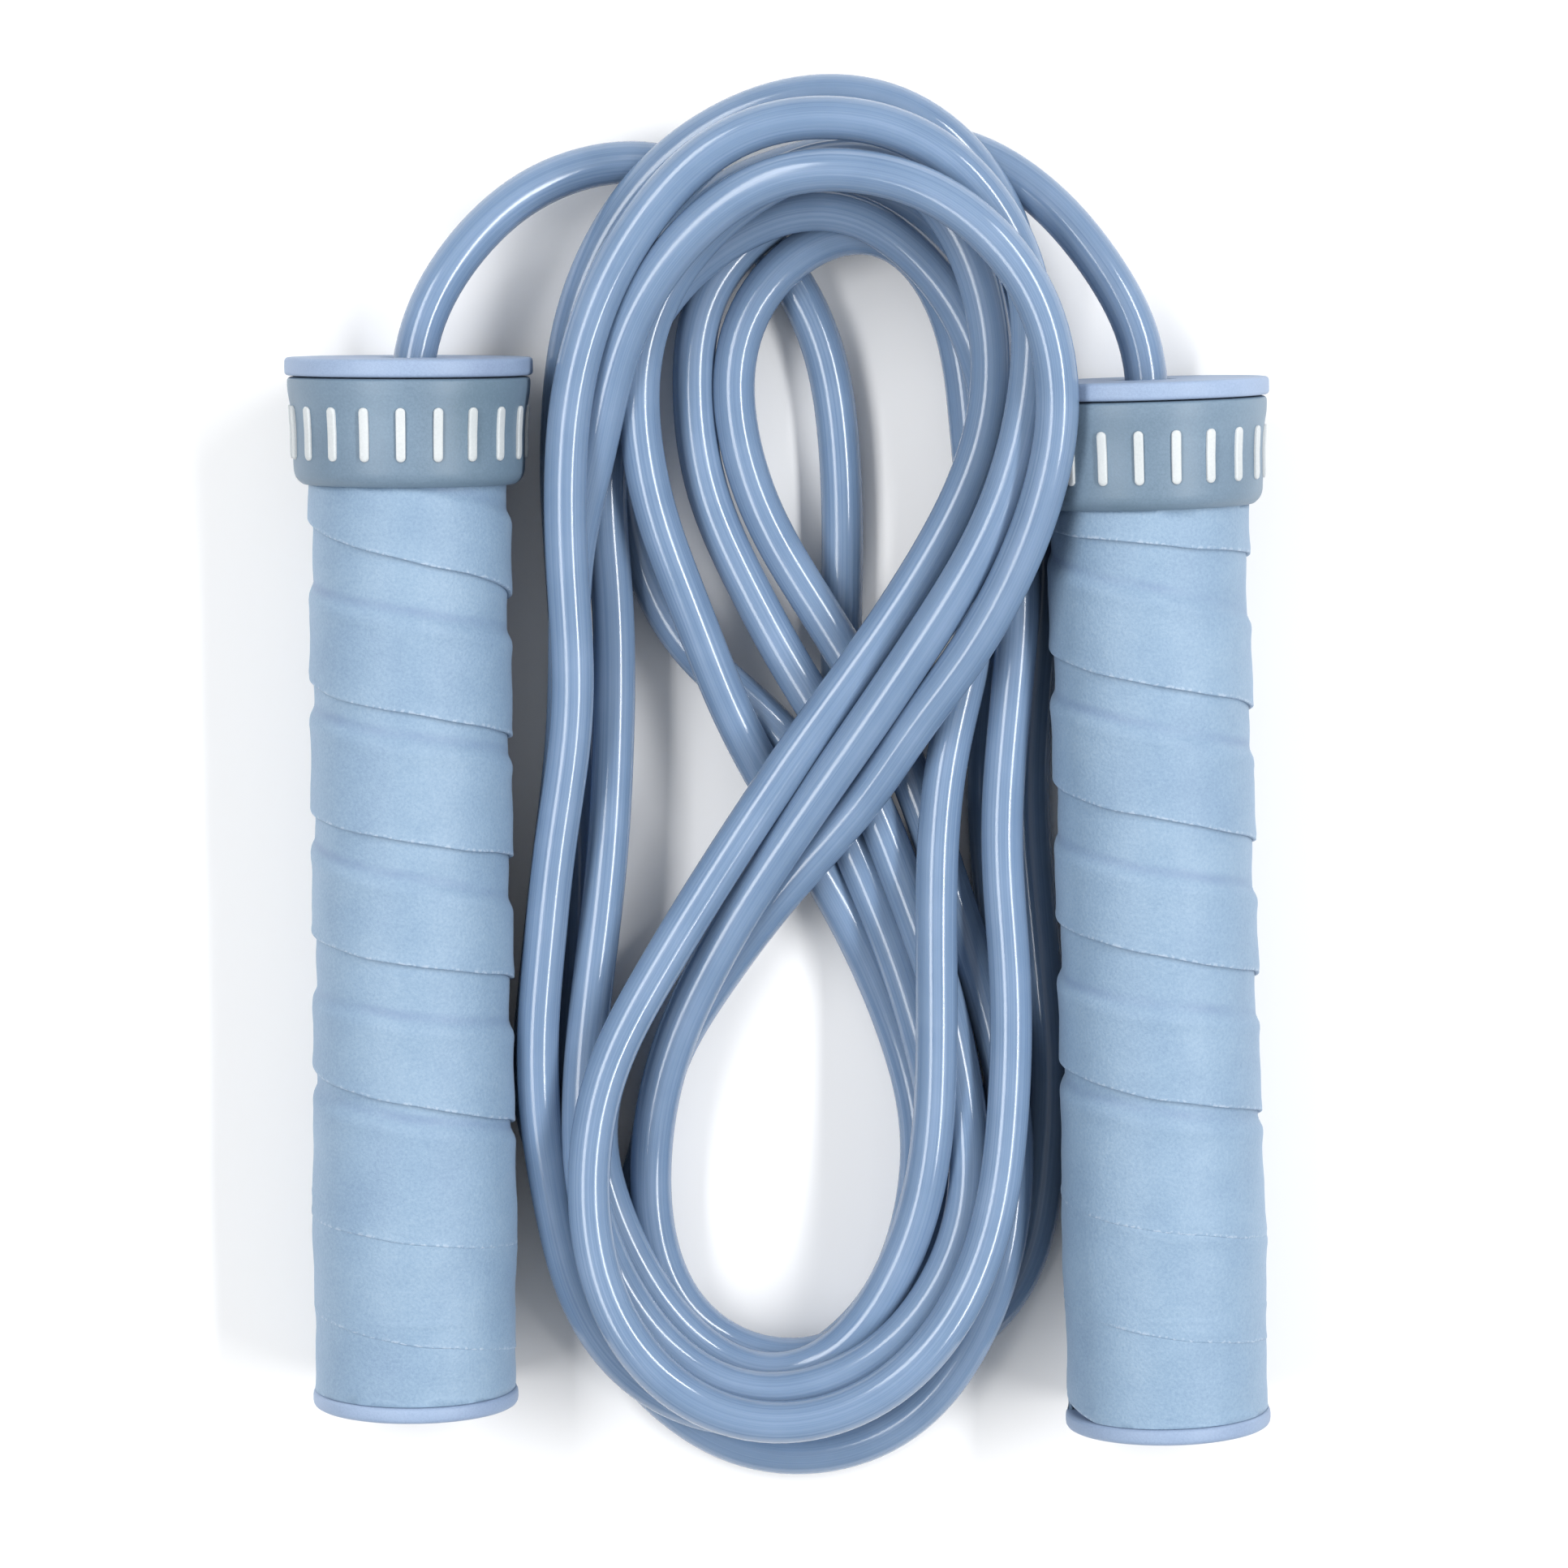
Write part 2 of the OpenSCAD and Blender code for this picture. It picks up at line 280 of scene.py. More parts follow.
def spline(points, step, extra=None):
    """A smooth line through points: a natural cubic spline over the square root of the chords.

    It is sampled at equal steps of its own length. extra is a value per point, carried along.
    """
    points = np.asarray(points, float)
    gaps = np.sqrt(np.linalg.norm(np.diff(points, axis=0), axis=1))
    t = np.concatenate([[0.0], np.cumsum(gaps)])
    n = len(points)
    matrix = np.eye(n)
    right_side = np.zeros((n, 3))
    inner = np.arange(1, n - 1)
    matrix[inner, inner - 1] = gaps[:-1]
    matrix[inner, inner] = 2 * (gaps[:-1] + gaps[1:])
    matrix[inner, inner + 1] = gaps[1:]
    slope = np.diff(points, axis=0) / gaps[:, None]
    right_side[inner] = 6 * np.diff(slope, axis=0)
    bend = np.linalg.solve(matrix, right_side)
    u = np.linspace(0, t[-1], 40 * n)
    i = np.clip(np.searchsorted(t, u, side="right") - 1, 0, n - 2)
    h = gaps[i][:, None]
    a = (t[i + 1] - u)[:, None]
    b = (u - t[i])[:, None]
    line = ((bend[i] * a ** 3 + bend[i + 1] * b ** 3) / (6 * h)
            + (points[i] / h - bend[i] * h / 6) * a + (points[i + 1] / h - bend[i + 1] * h / 6) * b)
    run = np.concatenate([[0.0], np.cumsum(np.linalg.norm(np.diff(line, axis=0), axis=1))])
    at = np.linspace(0, run[-1], int(round(run[-1] / step)) + 1)
    even = np.stack([np.interp(at, run, line[:, k]) for k in range(3)], axis=1)
    if extra is None:
        return even
    return even, np.interp(at, run, np.interp(u, t, extra))


# The handles as the rope meets them: the band begins here, and there is nothing past the ends.
GRIP_TOP = 113.0
BAND_WAIST_R = 14.1
BAND_LIP_R = 15.0
ABSENT = -50.0
STEP = 0.01


def handle_radius(distance):
    """How thick a handle is at a distance along its axis, and nothing past its two ends."""
    places = [0, STEP, GRIP_TOP, GRIP_TOP + STEP, CORE_TOP, FLANGE_AT, HANDLE_L, HANDLE_L + STEP]
    radii = [ABSENT, END_CAP_R, END_CAP_R, BAND_WAIST_R, BAND_LIP_R, FLANGE_R, FLANGE_R, ABSENT]
    return np.interp(distance, places, radii)


# Settling: the step between the rope's points, the rounds it gets, and how many points at each
# end stay as laid.
SETTLE_STEP = 2.5
SETTLE_ROUNDS = 800
FIXED_ENDS = 9
# Points this few steps apart along the rope are one strand and don't push each other.
SAME_STRAND = 6
# Pairs of points nearer than this many diameters in plan are looked at, and found again every so
# many rounds.
PAIR_REACH = 1.2
PAIR_ROUNDS = 25
# Strands rest a little under a diameter apart, as soft rope does.
PRESSED = 0.99
# How much of a meeting a round mends, and how far it lifts a pair that lies the wrong way up.
# Such a pair crosses within this many diameters in plan, and where it is covered it is put
# right only in the first rounds.
MEND = 1.3
LIFT = 0.4
CROSSING = 0.7
ORDER_ROUNDS = 240
# How far every point sinks in a round.
SINK = 0.006
# How strongly a point in sight goes back to its laid place, and a covered one; and how freely
# each of them shifts sideways.
HOLD_SEEN, HOLD_UNDER = 0.15, 0.004
GIVE_SEEN = 0.05


def settle(line, free):
    """Lets the laid rope come to rest on itself, on the handles and on the table.

    In each round, two strands nearer than a diameter are pushed apart, mostly up and down where
    they are in sight and any way where they are covered; the upper one stays the upper one. Then
    every point sinks a little, goes part of the way back to its laid place in plan, and is
    evened out against its neighbours, as the rope's stiffness does.
    """
    rope = line.copy()
    count = len(rope)
    index = np.arange(count)
    beside = np.abs(index[:, None] - index[None, :]) <= SAME_STRAND
    laid_order = np.sign(line[:, None, 2] - line[None, :, 2])
    give = (GIVE_SEEN + (1 - GIVE_SEEN) * free)[:, None]
    hold = (HOLD_SEEN * (HOLD_UNDER / HOLD_SEEN) ** free)[:, None]
    plan_only = np.array([1.0, 1.0, 0.0])
    for turn in range(SETTLE_ROUNDS):
        if turn % PAIR_ROUNDS == 0:
            plan = np.hypot(rope[:, None, 0] - rope[None, :, 0],
                            rope[:, None, 1] - rope[None, :, 1])
            i, j = np.where((plan < ROPE_D * PAIR_REACH) & ~beside)
            i, j = i[i < j], j[i < j]
            order = laid_order[i, j]
            in_sight = (free[i] < 0.5) & (free[j] < 0.5)
        apart = rope[i] - rope[j]
        distance = np.linalg.norm(apart, axis=1)
        missing = np.maximum(PRESSED * ROPE_D - distance, 0)
        swapped = ((np.sign(apart[:, 2]) != order) & (in_sight | (turn < ORDER_ROUNDS))
                   & (np.hypot(apart[:, 0], apart[:, 1]) < CROSSING * ROPE_D))
        push = (0.5 * missing / np.maximum(distance, 1e-6))[:, None] * apart
        push[swapped] = 0
        push[swapped, 2] = LIFT * order[swapped]
        hit = (missing > 0) | swapped
        i_hit, j_hit, push = i[hit], j[hit], push[hit]
        total = np.zeros_like(rope)
        met = np.zeros(count)
        np.add.at(total, i_hit, push * (1 - plan_only * (1 - give[i_hit])))
        np.add.at(total, j_hit, -push * (1 - plan_only * (1 - give[j_hit])))
        np.add.at(met, i_hit, 1)
        np.add.at(met, j_hit, 1)
        rope += MEND * total / np.maximum(met, 1)[:, None]
        rope[:, 2] -= SINK
        rope[:, :2] += (line[:, :2] - rope[:, :2]) * hold
        for repeat in range(2):
            rope -= 0.5 * unevenness(rope, 1)
        for reach in (3, 6):
            rope[:, 2] -= 0.2 * unevenness(rope[:, 2], reach)
        for side in SIDES:
            clear_handle(rope, side)
        rope[:, 2] = np.maximum(rope[:, 2], ROPE_D / 2)
        rope[:FIXED_ENDS] = line[:FIXED_ENDS]
        rope[-FIXED_ENDS:] = line[-FIXED_ENDS:]
    return rope


def clear_handle(rope, side):
    """Moves points that are inside a handle out of it: up from its upper half, out of its lower."""
    base, _, _, along = handle_axes(side)
    away = rope - base
    run = away @ along
    away -= run[:, None] * along
    far = np.linalg.norm(away, axis=1)
    need = handle_radius(run) + ROPE_D / 2
    inside = far < need
    above = inside & (away[:, 2] > 0)
    top = np.sqrt(np.maximum(need ** 2 - away[:, 0] ** 2, 0))
    rope[above, 2] += (top - away[:, 2])[above]
    below = inside & ~above
    rope[below] += (away / far[:, None] * (need - far)[:, None])[below]


def unevenness(values, reach):
    """How far each value is from its neighbours' own unevenness, the second difference twice."""
    first = np.zeros_like(values)
    first[reach:-reach] = (values[:-2 * reach] + values[2 * reach:]) / 2 - values[reach:-reach]
    second = np.zeros_like(values)
    second[reach:-reach] = (first[:-2 * reach] + first[2 * reach:]) / 2 - first[reach:-reach]
    second[:3 * reach] = 0
    second[-3 * reach:] = 0
    return second


ROPE_SIDES = 30
ROPE_RING_STEP = 1.5
# Distance along the handle, and how far the rope leans over in the cap's hole there.
ROPE_END = ((ROPE_TAIL_AT, 0.0), (120, 0.0), (126, 0.35), (HANDLE_L + ROPE_OUT, 0.9))
RIGHT_LEAN = 0.4
# The bell-shaped weight that evens the line: how many points it reaches, and its width in
# points; and how many points at each end it leaves alone.
BELL_REACH = 7
BELL_WIDTH = 2.4
KEPT_ENDS = 6


def evened(line):
    """Evens out a line against its neighbours without drawing in its bends.

    It is averaged under a bell-shaped weight, and what that took off a bend is added back.
    """
    weight = np.exp(-0.5 * (np.arange(-BELL_REACH, BELL_REACH + 1) / BELL_WIDTH) ** 2)
    weight /= weight.sum()
    padding = ((2 * BELL_REACH, 2 * BELL_REACH), (0, 0))
    padded = np.pad(line, padding, mode="reflect", reflect_type="odd")
    once = np.stack([np.convolve(padded[:, k], weight, "valid") for k in range(3)], axis=1)
    twice = np.stack([np.convolve(once[:, k], weight, "valid") for k in range(3)], axis=1)
    smooth = 2 * once[BELL_REACH:-BELL_REACH] - twice
    smooth[:, 2] = np.maximum(smooth[:, 2], ROPE_D / 2)
    smooth[:KEPT_ENDS] = line[:KEPT_ENDS]
    smooth[-KEPT_ENDS:] = line[-KEPT_ENDS:]
    return smooth


def rope_path():
    """The settled centreline of the whole rope, in millimetres, at even steps."""
    points = [on_axis("left", d) + (lean, 0, 0) for d, lean in ROPE_END] + LEFT_LEAD
    free = [SEEN] * len(points)
    for cover, stretch in HANK:
        points += [HANK_AT + point for point in stretch]
        free += [cover] * len(stretch)
    last = RIGHT_LEAD[::-1] + [on_axis("right", d) + (RIGHT_LEAN * lean, 0, 0)
                               for d, lean in ROPE_END[::-1]]
    line, free = spline(points + last, SETTLE_STEP, free + [SEEN] * len(last))
    return spline(evened(settle(line, free)), ROPE_RING_STEP)


def tube(path, sides, radius):
    """Rings around a path: centre + radius * (cos * side + sin * up), square to its direction.

    The first and last two rings draw in to the path's ends, which closes the tube.
    """
    ahead = np.gradient(path, axis=0)
    ahead /= np.linalg.norm(ahead, axis=1)[:, None]
    side = np.cross(ahead, [0, 0, 1])
    side /= np.linalg.norm(side, axis=1)[:, None]
    up = np.cross(side, ahead)
    angle = 2 * np.pi * np.arange(sides) / sides
    around = (np.cos(angle)[None, :, None] * side[:, None]
              + np.sin(angle)[None, :, None] * up[:, None])
    share = np.concatenate([[0.0, 0.8], np.ones(len(path)), [0.8, 0.0]])
    ring = np.concatenate([[0, 0], np.arange(len(path)), [-1, -1]])
    grid = path[ring, None] + share[:, None, None] * radius * around[ring]
    run = np.concatenate([[0.0], np.cumsum(np.linalg.norm(np.diff(path, axis=0), axis=1))])
    uv = np.stack(np.broadcast_arrays((angle * radius * MM)[None, :], (run[ring] * MM)[:, None]),
                  axis=-1)
    return grid, uv


# ---------- materials ----------

def linear(code):
    """An sRGB hex colour as linear red, green, blue and a full alpha."""
    parts = [int(code[k:k + 2], 16) / 255 for k in (0, 2, 4)]
    return [p / 12.92 if p <= 0.04045 else ((p + 0.055) / 1.055) ** 2.4 for p in parts] + [1.0]


def node(tree, kind, settings=None, inputs=None, links=None):
    """Adds a node: its settings, its inputs' values, and links from other nodes' outputs."""
    new = tree.nodes.new(kind)
    for key, value in (settings or {}).items():
        setattr(new, key, value)
    for key, value in (inputs or {}).items():
        new.inputs[key].default_value = value
    for key, (source, output) in (links or {}).items():
        tree.links.new(source.outputs[output], new.inputs[key])
    return new


def material(name):
    """An empty material with its output node, ready for its shader."""
    made = bpy.data.materials.new(name)
    made.use_nodes = True
    made.node_tree.nodes.clear()
    return made, made.node_tree


def ramp(tree, source, output, stops):
    """A colour ramp between sRGB hex stops, read from another node's output."""
    new = node(tree, "ShaderNodeValToRGB", links={"Fac": (source, output)})
    band = new.color_ramp
    while len(band.elements) < len(stops):
        band.elements.new(0.5)
    for element, (place, code) in zip(band.elements, stops):
        element.position = place
        element.color = linear(code)
    return new


def noise(tree, source, output, scale, detail=2.0, roughness=0.5, dimensions="3D"):
    """A noise texture read at another node's output."""
    return node(tree, "ShaderNodeTexNoise", {"noise_dimensions": dimensions},
                {"Scale": scale, "Detail": detail, "Roughness": roughness},
                {"Vector": (source, output)})


def ranged(tree, source, output, span, result, curve="LINEAR"):
    """A value taken from its span, low and high, to the result's, and held there beyond."""
    return node(tree, "ShaderNodeMapRange", {"interpolation_type": curve},
                {"From Min": span[0], "From Max": span[1],
                 "To Min": result[0], "To Max": result[1]},
                {"Value": (source, output)})


def blended(tree, share, first, second):
    """Two nodes' values mixed; share is the second's."""
    return node(tree, "ShaderNodeMix", {"data_type": "FLOAT"}, {"Factor": share},
                {"A": first, "B": second})


def tinted(tree, share, first, code):
    """A colour mixed with an sRGB hex colour; share is a node whose value is the hex colour's."""
    return node(tree, "ShaderNodeMix", {"data_type": "RGBA"}, {"B": linear(code)},
                {"Factor": (share, "Value"), "A": first})


def product(tree, first, second):
    """The product of two ranged values."""
    return node(tree, "ShaderNodeMath", {"operation": "MULTIPLY"},
                links={0: (first, "Result"), 1: (second, "Result")})


def bumped(tree, source, output, strength, metres, under=None):
    """A bump read from another node's output, over the one under it."""
    links = {"Height": (source, output)}
    if under is not None:
        links["Normal"] = (under, "Normal")
    return node(tree, "ShaderNodeBump", inputs={"Strength": strength, "Distance": metres},
                links=links)


def finish_material(made, tree, shader):
    """Joins the shader to the surface output."""
    node(tree, "ShaderNodeOutputMaterial", links={"Surface": (shader, "BSDF")})
    return made


def soft_pvc():
    """Extruded plasticised PVC: glossy and slightly cloudy, with fine lines drawn by the die."""
    made, tree = material("soft_pvc_rope")
    # Die lines: 0.25 mm apart around the rope, some 80 mm long.
    place = node(tree, "ShaderNodeUVMap", {"uv_map": "surface"})
    stretch = node(tree, "ShaderNodeMapping", inputs={"Scale": (4000.0, 12.0, 1.0)},
                   links={"Vector": (place, "UV")})
    lines = noise(tree, stretch, "Vector", 1.0, 3.0, 0.6, "2D")
    # Cloudiness in the wall, in patches of about 8 mm.
    spot = node(tree, "ShaderNodeTexCoord")
    cloud = noise(tree, spot, "Object", 120.0)
    mix = blended(tree, 0.35, (lines, "Fac"), (cloud, "Fac"))
    tint = ramp(tree, mix, "Result", [(0.3, "667d9a"), (0.5, "7087a3"), (0.72, "7d92ae")])
    gloss = ranged(tree, cloud, "Fac", (0.3, 0.7), (0.12, 0.19))
    # Orange peel of the extruded skin, 1.2 mm across, under the die lines.
    peel = noise(tree, spot, "Object", 800.0, 1.0)
    height = blended(tree, 0.4, (lines, "Fac"), (peel, "Fac"))
    bump = bumped(tree, height, "Result", 0.025, 0.00008)
    shader = node(tree, "ShaderNodeBsdfPrincipled",
                  inputs={"IOR": 1.53, "Specular IOR Level": 0.5, "Subsurface Weight": 0.25,
                          "Subsurface Radius": (0.9, 1.1, 1.6), "Subsurface Scale": 0.0012},
                  links={"Base Color": (tint, "Color"), "Roughness": (gloss, "Result"),
                         "Normal": (bump, "Normal")})
    return finish_material(made, tree, shader)


def tacky_tape():
    """Polyurethane overgrip tape: matt and slightly fuzzy, with a fine suede-like pebble."""
    made, tree = material("polyurethane_grip_tape")
    spot = node(tree, "ShaderNodeTexCoord")
    # Pebble of the tape's face, 0.35 mm across.
    pebble = noise(tree, spot, "Object", 2800.0, 3.0, 0.65)
    # Handling marks and pressure, in patches of 10 mm.
    wear = noise(tree, spot, "Object", 95.0, 4.0, 0.6)
    mix = blended(tree, 0.45, (pebble, "Fac"), (wear, "Fac"))
    tint = ramp(tree, mix, "Result", [(0.3, "6f88a3"), (0.5, "7d96ae"), (0.7, "8ba2b7")])
    # Along the strip, U is the distance past the hidden edge of the turn below, and V the
    # distance from the strip's own free edge, both in metres.
    strip = node(tree, "ShaderNodeUVMap", {"uv_map": "surface"})
    split = node(tree, "ShaderNodeSeparateXYZ", links={"Vector": (strip, "UV")})
    # Pale fibres along the strip's cut edge, 0.5 mm wide, broken up along it.
    near_edge = ranged(tree, split, "Y", (0.0001, 0.0005), (1.0, 0.0))
    fibre = noise(tree, spot, "Object", 1900.0)
    broken = ranged(tree, fibre, "Fac", (0.5, 0.6), (0.0, 0.36))
    frayed = tinted(tree, product(tree, near_edge, broken), (tint, "Color"), "ccd6e2")
    # Painted shade: where the strip dips past the hidden edge of the turn below, the colour is
    # darkened towards 64799a along a soft line 2 mm wide, standing in for the shade in that groove.
    past = node(tree, "ShaderNodeMath", {"operation": "SUBTRACT"}, {1: 0.0009}, {0: (split, "X")})
    aside = node(tree, "ShaderNodeMath", {"operation": "ABSOLUTE"}, links={0: (past, "Value")})
    crease_shade = ranged(tree, aside, "Value", (0.0, 0.0011), (1.0, 0.0), "SMOOTHSTEP")
    # drawn sets how dark the painted shade is, and varies it along the edge with the wear noise.
    drawn = ranged(tree, wear, "Fac", (0.4, 0.6), (0.1, 0.5))
    colour = tinted(tree, product(tree, crease_shade, drawn), (frayed, "Result"), "64799a")
    bump = bumped(tree, pebble, "Fac", 0.55, 0.00012)
    folds = bumped(tree, wear, "Fac", 0.3, 0.0006, bump)
    shader = node(tree, "ShaderNodeBsdfPrincipled",
                  inputs={"Roughness": 0.52, "IOR": 1.5, "Specular IOR Level": 0.5,
                          "Sheen Weight": 0.25, "Sheen Roughness": 0.5,
                          "Sheen Tint": linear("c6d6ee")},
                  links={"Base Color": (colour, "Result"), "Normal": (folds, "Normal")})
    return finish_material(made, tree, shader)


def moulded(name, stops, grain_mm, roughness, bump_strength, scatter=0.0, ior=1.5):
    """A moulded plastic or rubber: its colour moves a little, over the grain of its mould."""
    made, tree = material(name)
    spot = node(tree, "ShaderNodeTexCoord")
    grain = noise(tree, spot, "Object", 1000.0 / grain_mm, 3.0, 0.6)
    # The colour shifts in patches of about 17 mm, as the plastic flowed.
    shift = noise(tree, spot, "Object", 60.0, 3.0)
    mix = blended(tree, 0.6, (grain, "Fac"), (shift, "Fac"))
    tint = ramp(tree, mix, "Result", list(zip((0.3, 0.5, 0.7), stops)))
    dull = ranged(tree, grain, "Fac", (0.3, 0.7), (roughness - 0.06, roughness + 0.08))
    bump = bumped(tree, grain, "Fac", bump_strength, 0.0001)
    shader = node(tree, "ShaderNodeBsdfPrincipled",
                  inputs={"IOR": ior, "Specular IOR Level": 0.5, "Subsurface Weight": scatter,
                          "Subsurface Radius": (1.0, 1.0, 1.0), "Subsurface Scale": 0.001},
                  links={"Base Color": (tint, "Color"), "Roughness": (dull, "Result"),
                         "Normal": (bump, "Normal")})
    return finish_material(made, tree, shader)


def crimped_aluminium():
    """Aluminium ferrule: drawn tube, squeezed in a crimping die, with fine lines around it."""
    made, tree = material("aluminium_ferrule")
    spot = node(tree, "ShaderNodeTexCoord")
    # Lines 0.3 mm apart along the handle and 5 mm long around it.
    stretch = node(tree, "ShaderNodeMapping", inputs={"Scale": (200.0, 3000.0, 200.0)},
                   links={"Vector": (spot, "Object")})
    lines = noise(tree, stretch, "Vector", 1.0)
    tint = ramp(tree, lines, "Fac", [(0.3, "a9aeb6"), (0.7, "c9cdd4")])
    bump = bumped(tree, lines, "Fac", 0.3, 0.00005)
    shader = node(tree, "ShaderNodeBsdfPrincipled", inputs={"Metallic": 1.0, "Roughness": 0.38},
                  links={"Base Color": (tint, "Color"), "Normal": (bump, "Normal")})
    return finish_material(made, tree, shader)


ROPE_PVC = soft_pvc()
GRIP_TAPE = tacky_tape()
# Caps: moulded ABS with a fine spark-eroded texture, 0.25 mm, which gives an even matt face.
CAP_ABS = moulded("abs_cap", ("7b8ca8", "879ab5", "94a6c1"), 0.25, 0.5, 0.35)
# Core: moulded polypropylene, plain and matt, out of sight under the tape.
CORE_PP = moulded("polypropylene_core", ("7c8dab", "8798b4", "92a2bd"), 0.4, 0.55, 0.2)
# Band: moulded silicone, satin and a little translucent, with dust-fine grain.
BAND_SILICONE = moulded("silicone_band", ("5f7484", "6a7e90", "768b9d"), 0.3, 0.42, 0.2,
                        scatter=0.2, ior=1.41)
# Marks: the same silicone, filled white.
MARK_SILICONE = moulded("silicone_mark", ("b2b8ba", "bcc1c3", "c7cbcd"), 0.3, 0.45, 0.2,
                        scatter=0.15, ior=1.41)
# Washer: moulded nylon, off-white and waxy.
WASHER_NYLON = moulded("nylon_washer", ("c6c6c0", "d0d0cb", "dadad6"), 0.3, 0.4, 0.2,
                       scatter=0.2)
FERRULE_METAL = crimped_aluminium()


def wear_material(piece, made):
    """Puts one material on a piece or on a kept CAD node."""
    piece.data.materials.clear()
    piece.data.materials.append(made)


# ---------- rope ----------

path = rope_path()
grid, uv = tube(path, ROPE_SIDES, ROPE_D / 2)
rope = skin("rope", grid, uv=uv)
wear_material(rope, ROPE_PVC)
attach(rope, "rope")
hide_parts("rope_hank", "rope_lead_left", "rope_lead_right",
            "rope_end_left", "rope_end_right")

# ---------- handles ----------

TAPE_WIDTH = 27.0
TAPE_T = 0.5
TAPE_FOOT = END_CAP_T + 0.02
TAPE_TOP = BAND_FOOT + 0.15
# The first and last turns run on past these two by no more than this.
TAPE_TUCK = 0.01
# How far a turn laps over the one below stays between these.
LEAST_LAP, MOST_LAP = 5, 24
# The strip starts on the handle's left side, and a turn of it has this many steps.
TAPE_START = math.pi
TAPE_STEPS = 96
# The edge's corners at the knots are evened over this many steps.
EDGE_BELL = 25
# Where the strip's free edge crosses the handle's two sides, from its top to its foot, half a
# turn apart, in millimetres from the end cap's face.
TAPE_EDGE = {
    "left": [127, 119, 110, 101, 90.5, 83.5, 74.5, 68.5, 59.5, 53.5, 43, 35.5, 24.5, 20, 12.5,
             7, 1, -6, -14],
    "right": [127.5, 120.5, 112, 108, 97, 89, 81, 72.5, 64, 56, 46, 39, 29, 23.5, 16, 10.5,
              3.5, -3, -11],
}
TAPE_SEEDS = {"left": 11, "right": 18}
# Across the strip, from its free edge: its outer face, whose edge is rounded, and back under.
OUTER_X = np.concatenate([[0, 0, 0.05, 0.14, 0.35, 0.8, 1.6, 3, 5, 7], np.linspace(8.2, 16, 17),
                          [18, 21, 24, TAPE_WIDTH]])
EDGE_ROUND = [0.0, 0.7, 0.92, 0.99]
INNER_X = np.array([TAPE_WIDTH, 22, 16, 13, 11.5, 10, 8.5, 6, 3, 1])
# A fuller place above the foot: its height there, how far it spreads, and how much it adds.
BULGE_AT, BULGE_WIDTH, BULGE = 24, 9, 0.3


def wave(values, seed, size):
    """A slow, repeatable unevenness: a few sines of the values with seeded phases."""
    draw = np.random.default_rng(seed)
    total = np.zeros_like(values)
    for rate in (0.7, 1.3, 2.1, 3.7, 6.1):
        total += np.sin(values * rate + draw.uniform(0, 2 * np.pi)) / (1 + rate)
    return size * total


def grip_tape(side):
    """One strip of tape wound down a handle, each turn lapped over the next one below.

    The strip's section is a closed outline of (height above its free edge, radius). It is carried
    down a helix whose free edge runs through the knots of TAPE_EDGE. The section stands one
    layer out where it lies on the turn below and falls to the core past that turn's edge.
    """
    base, across, up, along = handle_axes(side)
    seed = TAPE_SEEDS[side]
    knots = np.array(TAPE_EDGE[side], float)
    half_turns = len(knots) - 1
    turn = np.linspace(0, half_turns, int(half_turns * TAPE_STEPS / 2) + 1)
    edge = np.interp(turn, np.arange(len(knots)), knots)
    bell = np.hanning(EDGE_BELL) / np.hanning(EDGE_BELL).sum()
    pad = EDGE_BELL // 2
    edge = np.convolve(np.pad(edge, pad, mode="edge"), bell, "same")[pad:-pad]
    edge += wave(turn * 5, seed, 0.22)
    below = np.interp(turn + 2, turn, edge)
    lap = np.clip(TAPE_WIDTH - (edge - below), LEAST_LAP, MOST_LAP)
    x = np.concatenate([OUTER_X, INNER_X])
    lift = np.zeros(len(x))
    lift[:len(OUTER_X)] = TAPE_T
    lift[:len(EDGE_ROUND)] *= EDGE_ROUND
    # Under the strip: one layer over the turn below, a low ridge at its edge, then the core.
    beyond = x[None, :] - lap[:, None]
    fallen = np.clip((beyond + 0.7) / 1.6, 0, 1)
    ridge = 0.1 * np.exp(-((beyond + 1.2) / 0.8) ** 2)
    lower = TAPE_T * (1 - fallen ** 2 * (3 - 2 * fallen)) + ridge
    angle = TAPE_START - turn * math.pi
    height = edge[:, None] + x[None, :]
    # The hand's unevenness, slack at the free edge, and the edge's own stand.
    uneven = (0.05 * np.sin(height * 0.9 + angle[:, None] * 3 + seed)
              + 0.04 * np.sin(height * 0.37 - angle[:, None] * 2))
    loose = wave(turn * 9, seed + 5, 0.06)[:, None] * np.exp(-x / 1.5)[None, :]
    radius = CORE_R + 0.02 + lower + lift[None, :] * (1 + loose * 2)
    radius += np.clip(uneven, -0.06, 0.09) * (x > 0.5)
    radius += (lift > 0.2) * (0.14 * np.exp(-x / 2.5)
                              + BULGE * np.exp(-((height - BULGE_AT) / BULGE_WIDTH) ** 2))
    over = np.maximum(height - TAPE_TOP, 0)
    under = np.maximum(TAPE_FOOT - height, 0)
    height = np.clip(height, TAPE_FOOT, TAPE_TOP) + TAPE_TUCK * (np.exp(-under) - np.exp(-over))
    ring = np.cos(angle)[:, None] * across + np.sin(angle)[:, None] * up
    grid = base + height[..., None] * along + radius[..., None] * ring[:, None, :]
    centre = grid.mean(axis=1, keepdims=True)
    grid = np.concatenate([0 * grid[:1] + centre[:1], grid, 0 * grid[-1:] + centre[-1:]])
    uv = np.stack(np.broadcast_arrays(beyond * MM, (x * MM)[None, :]), axis=-1)
    uv = np.concatenate([uv[:1], uv, uv[-1:]])
    return skin(f"grip_tape_skin_{side}", grid, uv=uv)


